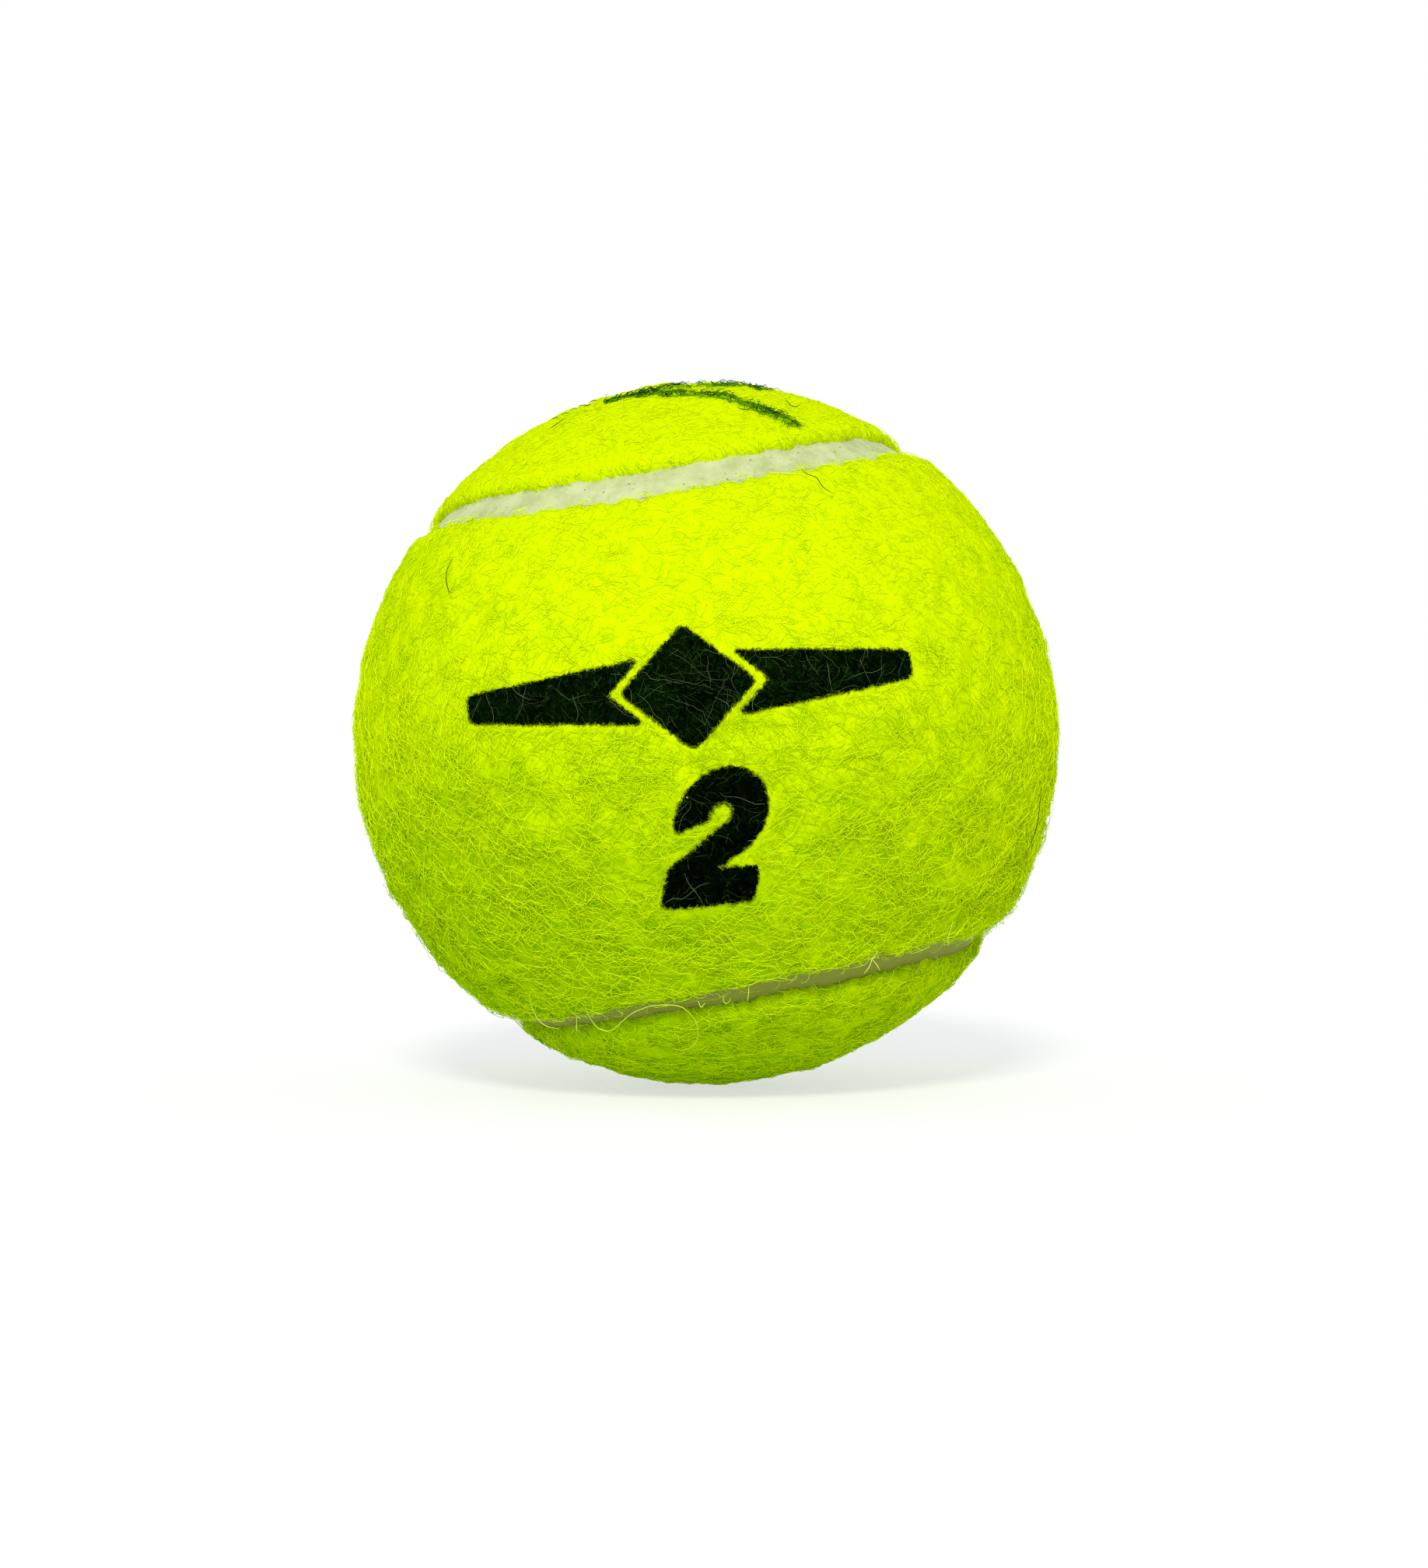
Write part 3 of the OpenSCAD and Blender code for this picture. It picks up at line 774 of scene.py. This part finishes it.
# Each fibre reads its own slice of one noise, so that no two curl alike
own = add(fibres, "InputNamedAttribute", {"Name": "own"})
apart = add(fibres, "Math", [own, CURL_SLICES], "MULTIPLY")
often = add(fibres, "Math", [1.0, given["Curl size"]], "DIVIDE")
curls = add(fibres, "TexNoise", {"Vector": where, "W": apart, "Scale": often, "Detail": 1.0},
            noise_dimensions="4D")
bend = add(fibres, "VectorMath", [curls.outputs["Color"], (0.5, 0.5, 0.5)], "SUBTRACT")
curl = add(fibres, "Math", [short, given["Curl"]], "MULTIPLY")
bend = add(fibres, "VectorMath", {0: bend, "Scale": curl}, "SCALE")
strands = add(fibres, "SetPosition", {"Geometry": strands, "Offset": bend})
# Each point is laid on the ground, cut at the print's edge and lifted by its own height
close = add(fibres, "Proximity", [given["Geometry"]])
strands = add(fibres, "SetPosition", {"Geometry": strands, "Position": close})
strands = add(fibres, "Switch", {"Switch": given["Trim"], "False": strands, "True": beyond(strands)})
outward = add(fibres, "SampleNearestSurface",
              {"Mesh": given["Geometry"], "Value": add(fibres, "InputNormal")},
              data_type="FLOAT_VECTOR")
waves = add(fibres, "TexNoise", {"Vector": where, "W": apart, "Scale": often, "Detail": 0.0},
            noise_dimensions="4D")
lift = add(fibres, "MapRange",
           {"Value": waves, "From Min": 0.3, "From Max": 0.7, "To Min": given["Sink"],
            "To Max": given["Lift"]})
# The pile on the crown is pressed lower
flat = add(fibres, "MapRange",
           {"Value": axes["Z"], "From Min": PRESSED_FROM, "From Max": PRESSED_TO, "To Min": 1.0,
            "To Max": given["Pressed"]})
lift = add(fibres, "Math", [lift, flat], "MULTIPLY")
lift = add(fibres, "VectorMath", {0: outward, "Scale": lift}, "SCALE")
strands = add(fibres, "SetPosition", {"Geometry": strands, "Offset": lift})
# Each fibre becomes a three-sided tube with thin ends
strands = add(fibres, "MeshToCurve", [strands])
part = add(fibres, "SplineParameter")
strands = add(fibres, "StoreNamedAttribute", {"Geometry": strands, "Name": "along", "Value": part})
other = add(fibres, "Math", [1.0, part], "SUBTRACT")
taper = add(fibres, "Math", [part, other], "MULTIPLY")
taper = add(fibres, "MapRange", {"Value": taper, "From Max": 0.14, "To Min": 0.35, "To Max": 1.0})
thick = add(fibres, "Math", [given["Thickness"], 0.5], "MULTIPLY")
thick = add(fibres, "Math", [taper, thick], "MULTIPLY")
strands = add(fibres, "SetCurveRadius", {"Curve": strands, "Radius": thick})
profile = add(fibres, "CurvePrimitiveCircle", {"Resolution": 3, "Radius": 1.0})
profile = add(fibres, "StoreNamedAttribute", {"Geometry": profile, "Name": "around", "Value": part})
tubes = add(fibres, "CurveToMesh",
            {"Curve": strands, "Profile Curve": profile, "Scale": add(fibres, "InputRadius"),
             "Fill Caps": True})
# Fibres of one tone share a column of the texture map, so that a baked picture keeps their colours
shade = add(fibres, "InputNamedAttribute", {"Name": "shade"})
column = add(fibres, "Math", [shade, TONES - 0.01], "MULTIPLY")
column = add(fibres, "Math", [column], "FLOOR")
tone = add(fibres, "Math", [column, TONES - 1.0], "DIVIDE")
toned = add(fibres, "StoreNamedAttribute", {"Geometry": tubes, "Name": "tone", "Value": tone})
around, along = (add(fibres, "InputNamedAttribute", {"Name": name}) for name in ("around", "along"))
across = add(fibres, "MapRange", {"Value": around, "To Min": 0.1, "To Max": 0.9})
across = add(fibres, "Math", [column, across])
across = add(fibres, "Math", [across, float(TONES)], "DIVIDE")
rest = add(fibres, "Math", [1.0, around], "SUBTRACT")
rest = add(fibres, "Math", [rest, around], "MULTIPLY")
up = add(fibres, "MapRange", {"Value": along, "To Min": 0.02, "To Max": 0.7})
up = add(fibres, "Math", [up, rest])
flat = add(fibres, "CombineXYZ", {"X": across, "Y": up})
plain = add(fibres, "StoreNamedAttribute", {"Geometry": toned, "Name": "OFBake", "Value": flat},
            data_type="FLOAT2", domain="CORNER")
for name in ("own", "shade", "along", "around"):
    plain = add(fibres, "RemoveAttribute", {"Geometry": plain, "Name": name})
real = add(fibres, "RealizeInstances", [plain])
dressed = add(fibres, "SetMaterial", {"Geometry": real, "Material": given["Finish"]})
add(fibres, "GroupOutput", [dressed])


def fibre_finish(name, low, high, start=0.0):
    """Dyed fibre: matt, each strand of its own tone between two colours, and never a white shine. Tones
    up to the start all take the low colour."""
    made, tree, surface = new_material(name)
    own = add(tree, "Attribute", attribute_name="tone").outputs["Fac"]
    shade = add(tree, "ValToRGB", [own])
    set_stops(shade, (start, low), (1.0, high))
    feed(surface, {"Base Color": shade, "Roughness": 0.9, "Specular IOR Level": 0.0})
    return made


def pile(name, side, slot, **values):
    """A piece of pile, grown on one panel's ground by the tree of fibres."""
    mesh = modified(ground[side].data, fibres, **values)
    mesh.name = name
    made = placed(name, mesh)
    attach(made, "root")


def stamp(name, pieces):
    """Some pieces in one holder, for the fibres to measure their distance from."""
    mesh = bpy.data.meshes.new(name)
    joined = bmesh.new()
    for piece in pieces:
        joined.from_mesh(piece.data)
    joined.to_mesh(mesh)
    joined.free()
    return bpy.data.objects.new(name, mesh)


every_mark = stamp("every_mark", (numeral, ornament, pen_line))
black_marks = stamp("black_marks", (numeral, ornament))
green_mark = stamp("green_mark", (pen_line,))
# The under fibres take darker tones than the top ones: painted shade under the top layer
shaded_under_fibre = fibre_finish("dyed_felt_fibre_low", "#84c600", "#dff200")
top_fibre = fibre_finish("dyed_felt_fibre_high", "#c6f200", "#e6f80c")
off_prints = {"Print": every_mark, "Margin": 0.12 * MM, "Inside": False, "Trim": True, "Painted_light": 0.4}
# The front panel is the fluffier one
for side, layers, fluffy in (("front", 3, 1.0), ("rear", 2, 0.6)):
    for layer in range(1, 3):
        pile(f"felt_under_fibres_{side}_{layer}", side, "felt_pile", Density=UNDER_DENSITY,
             Length=UNDER_LENGTH, Thickness=UNDER_W, Points=UNDER_POINTS, Curl=1.6 * MM,
             Curl_size=1.1 * MM, Sink=-0.05 * MM, Lift=0.3 * MM, Pressed=0.32, Stub=0.5, Stray=1.5,
             Seed=100 * layer + len(side), Finish=shaded_under_fibre, **off_prints)
    for layer in range(1, layers + 1):
        pile(f"felt_top_fibres_{side}_{layer}", side, "felt_pile", Density=TOP_DENSITY,
             Length=TOP_LENGTH, Thickness=TOP_W, Points=TOP_POINTS, Curl=3.4 * MM, Curl_size=1.5 * MM,
             Sink=0.05 * MM, Lift=(0.36 + 0.1 * layer) * fluffy * MM, Pressed=0.28, Stub=0.3,
             Stray=1.0, Seed=100 * layer + 50 + len(side), Finish=top_fibre, **off_prints)

# The inked fibres: the same pile where the print and the pen have coloured it, and a few clean
# strands that have worked their way up over it since.
black_fibre = fibre_finish("inked_felt_fibre", "#010501", "#3a562c", 0.7)
clean_fibre = fibre_finish("clean_strand_over_print", "#2a3820", "#7f9060")
green_fibre = fibre_finish("pen_inked_felt_fibre", "#022c14", "#4c9c14", 0.4)
on_prints = {"Inside": True, "Pressed": 1.0, "Stub": 1.0, "Painted_light": 0.0, "Stray": 1.5}
pile("print_fibres", "front", "print_ink", Density=6 / MM**2, Length=1.4 * MM, Thickness=0.045 * MM,
     Points=7, Curl=1.4 * MM, Curl_size=0.9 * MM, Sink=0.03 * MM, Lift=0.26 * MM, Print=black_marks,
     Margin=0.2 * MM, Trim=True, Seed=31, Finish=black_fibre, **on_prints)
pile("strands_over_print", "front", "felt_pile", Density=0.2 / MM**2, Length=4.6 * MM,
     Thickness=0.032 * MM, Points=16, Curl=3.4 * MM, Curl_size=3.2 * MM, Sink=0.1 * MM, Lift=0.3 * MM,
     Print=black_marks, Margin=0.16 * MM, Trim=True, Seed=32, Finish=clean_fibre, **on_prints)
pile("pen_mark_fibres", "rear", "pen_ink", Density=4.5 / MM**2, Length=1.6 * MM,
     Thickness=0.055 * MM, Points=9, Curl=2.2 * MM, Curl_size=0.7 * MM, Sink=0.0, Lift=0.5 * MM,
     Print=green_mark, Margin=0.22 * MM, Trim=False, Seed=33, Finish=green_fibre, **on_prints)
for holder in (every_mark, black_marks, green_mark):
    bpy.data.objects.remove(holder)

# Loose hairs. A few long fibres have come out of the pile and hang over the seam, and some dark
# lint clings to the felt. Each is drawn through a few places, as seen from the front.
HAIR_W = 0.08 * MM
PRINT_EDGE_W, PEN_EDGE_W = 0.045 * MM, 0.05 * MM
SEAM_FRINGE_W, CROWN_FRINGE_W = 0.05 * MM, 0.07 * MM
HAIR_HIGH, LINT_HIGH = 0.55 * MM, 0.3 * MM
# The fringe's strands start under the felt, at the panel's edge
FRINGE_DEPTH = 0.5 * MM
PALE_HAIRS_MM = [
    [(-7.5, -25.9), (-7.0, -25.3), (-6.0, -24.7), (-5.0, -24.3), (-3.9, -24.2), (-2.9, -24.2),
     (-2.1, -24.4), (-1.4, -25.1), (-0.9, -25.8), (-0.7, -26.8), (-0.8, -27.8), (-1.4, -28.5),
     (-2.1, -28.8), (-3.0, -28.6)],
    [(-11.0, -24.0), (-10.8, -25.1), (-10.4, -26.0), (-9.9, -26.7), (-9.1, -27.0), (-8.4, -26.8),
     (-7.8, -26.1), (-7.1, -25.4), (-6.3, -24.8)],
    [(-16.1, -23.7), (-16.0, -24.7), (-15.7, -25.7), (-15.2, -26.5), (-14.5, -26.9), (-13.5, -27.0)],
    [(-11.8, -25.7), (-11.8, -26.5), (-11.9, -27.4)],
    [(-0.7, -23.8), (-0.5, -24.5), (-0.1, -24.0)],
    [(1.6, -23.3), (1.5, -23.7), (1.7, -24.1), (2.1, -23.9), (2.2, -23.5)],
    [(3.8, -22.4), (3.8, -23.1), (3.7, -23.9)],
    [(22.1, -19.3), (22.0, -18.5), (22.2, -17.8), (22.4, -16.9)],
    [(14.2, -21.5), (14.7, -20.9), (14.9, -20.1), (15.4, -19.5)],
    [(15.7, -21.3), (15.4, -20.7), (14.8, -20.0)]]
PEN_FLECKS_MM = [
    [(-10.9, 30.8), (-10.5, 31.1), (-10.1, 31.0)], [(-11.4, 30.7), (-11.1, 30.4), (-10.7, 30.6)],
    [(-11.9, 30.5), (-11.5, 30.6), (-11.2, 30.3)], [(-12.7, 30.1), (-12.3, 30.35), (-12.0, 30.1)],
    [(-13.5, 29.7), (-13.1, 29.9), (-12.8, 29.7)], [(-14.4, 29.2), (-14.0, 29.45), (-13.7, 29.3)]]
LINT_MM = [
    [(8.5, 23.9), (9.0, 23.5), (9.5, 23.3), (9.9, 23.2), (10.2, 22.7), (10.5, 22.2), (11.0, 21.9),
     (11.4, 21.7)],
    [(-23.0, 16.0), (-23.5, 15.1), (-23.6, 14.2), (-23.4, 13.4), (-23.2, 12.9), (-22.8, 12.8)],
    [(-14.4, 28.2), (-13.8, 28.7), (-13.0, 29.3)],
    [(7.3, 31.0), (7.7, 30.3), (8.2, 30.1), (8.7, 30.4)],
    [(2.8, 29.9), (3.4, 29.7), (4.0, 29.8)],
    [(7.5, -20.7), (8.1, -20.4), (8.6, -20.5)],
    [(31.0, -4.9), (30.8, -7.0), (30.7, -8.3), (30.3, -9.7), (29.6, -11.1)]]


def from_front(route, high):
    """A smooth line through places seen from the front, at a height over the ball."""
    route = np.array(route) * MM
    fine = np.linspace(0, len(route) - 1, 4 * len(route))
    x, z = (np.interp(fine, np.arange(len(route)), route[:, i]) for i in range(2))
    for _ in range(3):
        x[1:-1], z[1:-1] = (x[:-2] + 2 * x[1:-1] + x[2:]) / 4, (z[:-2] + 2 * z[1:-1] + z[2:]) / 4
    return np.stack([x, -np.sqrt((BALL_R + high)**2 - x**2 - z**2), z], axis=1)


def fringe(count, seed, below, above, longest):
    """Short curled lines from the panels' edges out over the seam, between two heights."""
    chance = np.random.default_rng(seed)
    lines = []
    while len(lines) < count:
        at = int(chance.integers(SEAM_STEPS))
        if not below <= seam_line[at, 2] + chance.uniform(-0.3, 0.3) <= above:
            continue
        side = chance.choice(("front", "rear"))
        share = np.linspace(0, 1, 12)
        reach, sway = chance.uniform(0.2, longest) * MM, chance.normal() * 0.9 * longest * MM
        out = (FRINGE_DEPTH + reach) * np.sin(share * chance.uniform(1.2, 2.4))
        off = EDGE_OFF[side][at] + FRINGE_DEPTH - out
        spot = at + (sway * share**2 + 0.2 * MM * np.sin(share * chance.uniform(2, 9))) / SEAM_STEP
        line, inward = (np.stack([np.interp(spot, np.arange(SEAM_STEPS), way[:, i], period=SEAM_STEPS)
                                  for i in range(3)], axis=1) for way in (seam_line, seam_inward))
        high = BALL_R - chance.uniform(0.2, 0.5) * MM - 0.5 * MM * share
        lines.append(beside(line, inward, off if side == "front" else -off, high))
    return lines


def across_edge(skins, count, seed, reach):
    """Short lines just over the felt, across the edges of some skins."""
    chance = np.random.default_rng(seed)
    rim = []
    for skin in skins:
        places = [v.co[:] for v in skin.data.vertices]
        walls = [f.vertices for f in skin.data.polygons if len(f.vertices) == 4]
        rim += [(places[v[1]], places[v[0]]) for v in walls]
    rim, lines = np.array(rim), []
    share = np.linspace(-1, 1, 4)
    for a, b in rim[chance.integers(len(rim), size=count)]:
        up, way = a / np.linalg.norm(a), (b - a) / np.linalg.norm(b - a)
        inner, outer = chance.uniform(0.05 * MM, reach, 2)
        slant, bow = chance.normal(size=2) * (0.8 * reach, 0.3 * reach)
        high = chance.uniform(0, 0.1) * MM - 0.06 * MM * share**2
        lines.append(a + np.outer(np.linspace(-inner, outer, 4), np.cross(way, up))
                     + np.outer(slant * share + bow * share**2, way) + np.outer(high, up))
    return lines


def hairs(name, lines, thick, finish, sides=5):
    """Thin closed tubes on some lines, each of a tone of its own."""
    points, faces, tones = [], [], []
    for k, line in enumerate(lines):
        way, out = unit(np.gradient(line, axis=0)), unit(line)
        beside_line = np.cross(way, out)
        taper = np.sqrt(np.sin(np.linspace(0.12, math.pi - 0.12, len(line))))[:, None] * thick / 2
        start, n = len(points), len(line)
        for turn in np.arange(sides) * 2 * math.pi / sides:
            points += list(line + (beside_line * math.cos(turn) + out * math.sin(turn)) * taper)
        first = [start + j * n for j in range(sides)]
        for a, b in zip(first, first[1:] + first[:1]):
            faces += [(a + i, b + i, b + i + 1, a + i + 1) for i in range(n - 1)]
        faces += [first[::-1], [a + n - 1 for a in first]]
        tones += [k % 5 / 4] * sides * n
    made = new_object(name, points, faces, finish)
    set_values(made.data, "tone", tones)
    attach(made, "root")


# Where the ink ends, the fibres across the edge are inked for a part of their length only
print_edges = across_edge((numeral, ornament), count=2800, seed=51, reach=0.22 * MM)
pen_edges = across_edge((pen_line,), count=700, seed=52, reach=0.6 * MM)
half_inked = fibre_finish("half_inked_felt_fibre", "#0a1804", "#a0c000")
half_penned = fibre_finish("half_pen_inked_fibre", "#2c7c10", "#a4d808")
hairs("print_edge_hairs", print_edges, PRINT_EDGE_W, half_inked, sides=3)
hairs("pen_edge_hairs", pen_edges, PEN_EDGE_W, half_penned, sides=3)
# Long hairs hang over the seam, and short strands reach out over it, the longer ones under the belly
loose_hairs = [from_front(route, HAIR_HIGH) for route in PALE_HAIRS_MM]
loose_pale = fibre_finish("loose_pale_fibre", "#c8e83c", "#e0f868")
# The crown's strands are painted lighter and the belly's darker: painted light and shade
belly_strand = fibre_finish("fringe_fibre", "#98bc10", "#ccec30")
crown_strand = fibre_finish("bleached_fringe_fibre", "#c6e800", "#e4f810")
hairs("hairs_over_seam", loose_hairs, HAIR_W, loose_pale)
hairs("seam_fringe", fringe(260, 41, below=-1.3, above=0.0, longest=1.3), SEAM_FRINGE_W, belly_strand)
hairs("crown_fringe", fringe(420, 42, below=0.3, above=1.3, longest=0.45), CROWN_FRINGE_W, crown_strand)
# Flecks of ink where the pen skipped, and lint
flecks, lint = ([from_front(route, LINT_HIGH) for route in routes]
                for routes in (PEN_FLECKS_MM, LINT_MM))
hairs("pen_flecks", flecks, HAIR_W, green_fibre)
hairs("dark_lint", lint, HAIR_W, fibre_finish("dark_lint", "#1c3a08", "#2c4a10"))
